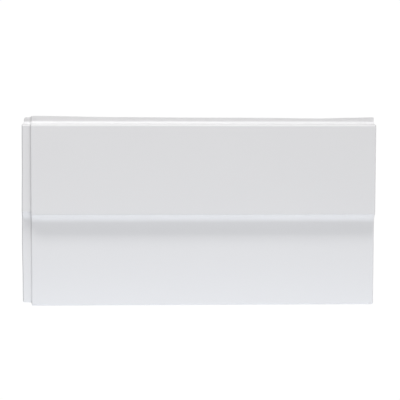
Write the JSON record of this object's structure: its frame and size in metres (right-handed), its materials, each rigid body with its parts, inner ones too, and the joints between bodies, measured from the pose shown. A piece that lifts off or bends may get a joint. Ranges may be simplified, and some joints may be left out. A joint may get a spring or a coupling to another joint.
{
  "type": "bath panel",
  "caption": "White gloss bath panel formed from sheet: stepped across the face, with a set-back lip along the top, turned-back edges and a set-back strip at the left-hand end.",
  "frame": {"origin": "middle of the overall box on the floor, where the turned-back edges rest", "axes": "+X along the panel to the right as seen from the front, +Y from the floor edge up to the lip, +Z out of the face"},
  "size_m": [1, 0.5372, 0.038],
  "materials": {
    "acrylic": "gloss"
  },
  "bodies": {
    "root": {"bath_panel": "acrylic"}
  },
  "joints": []
}
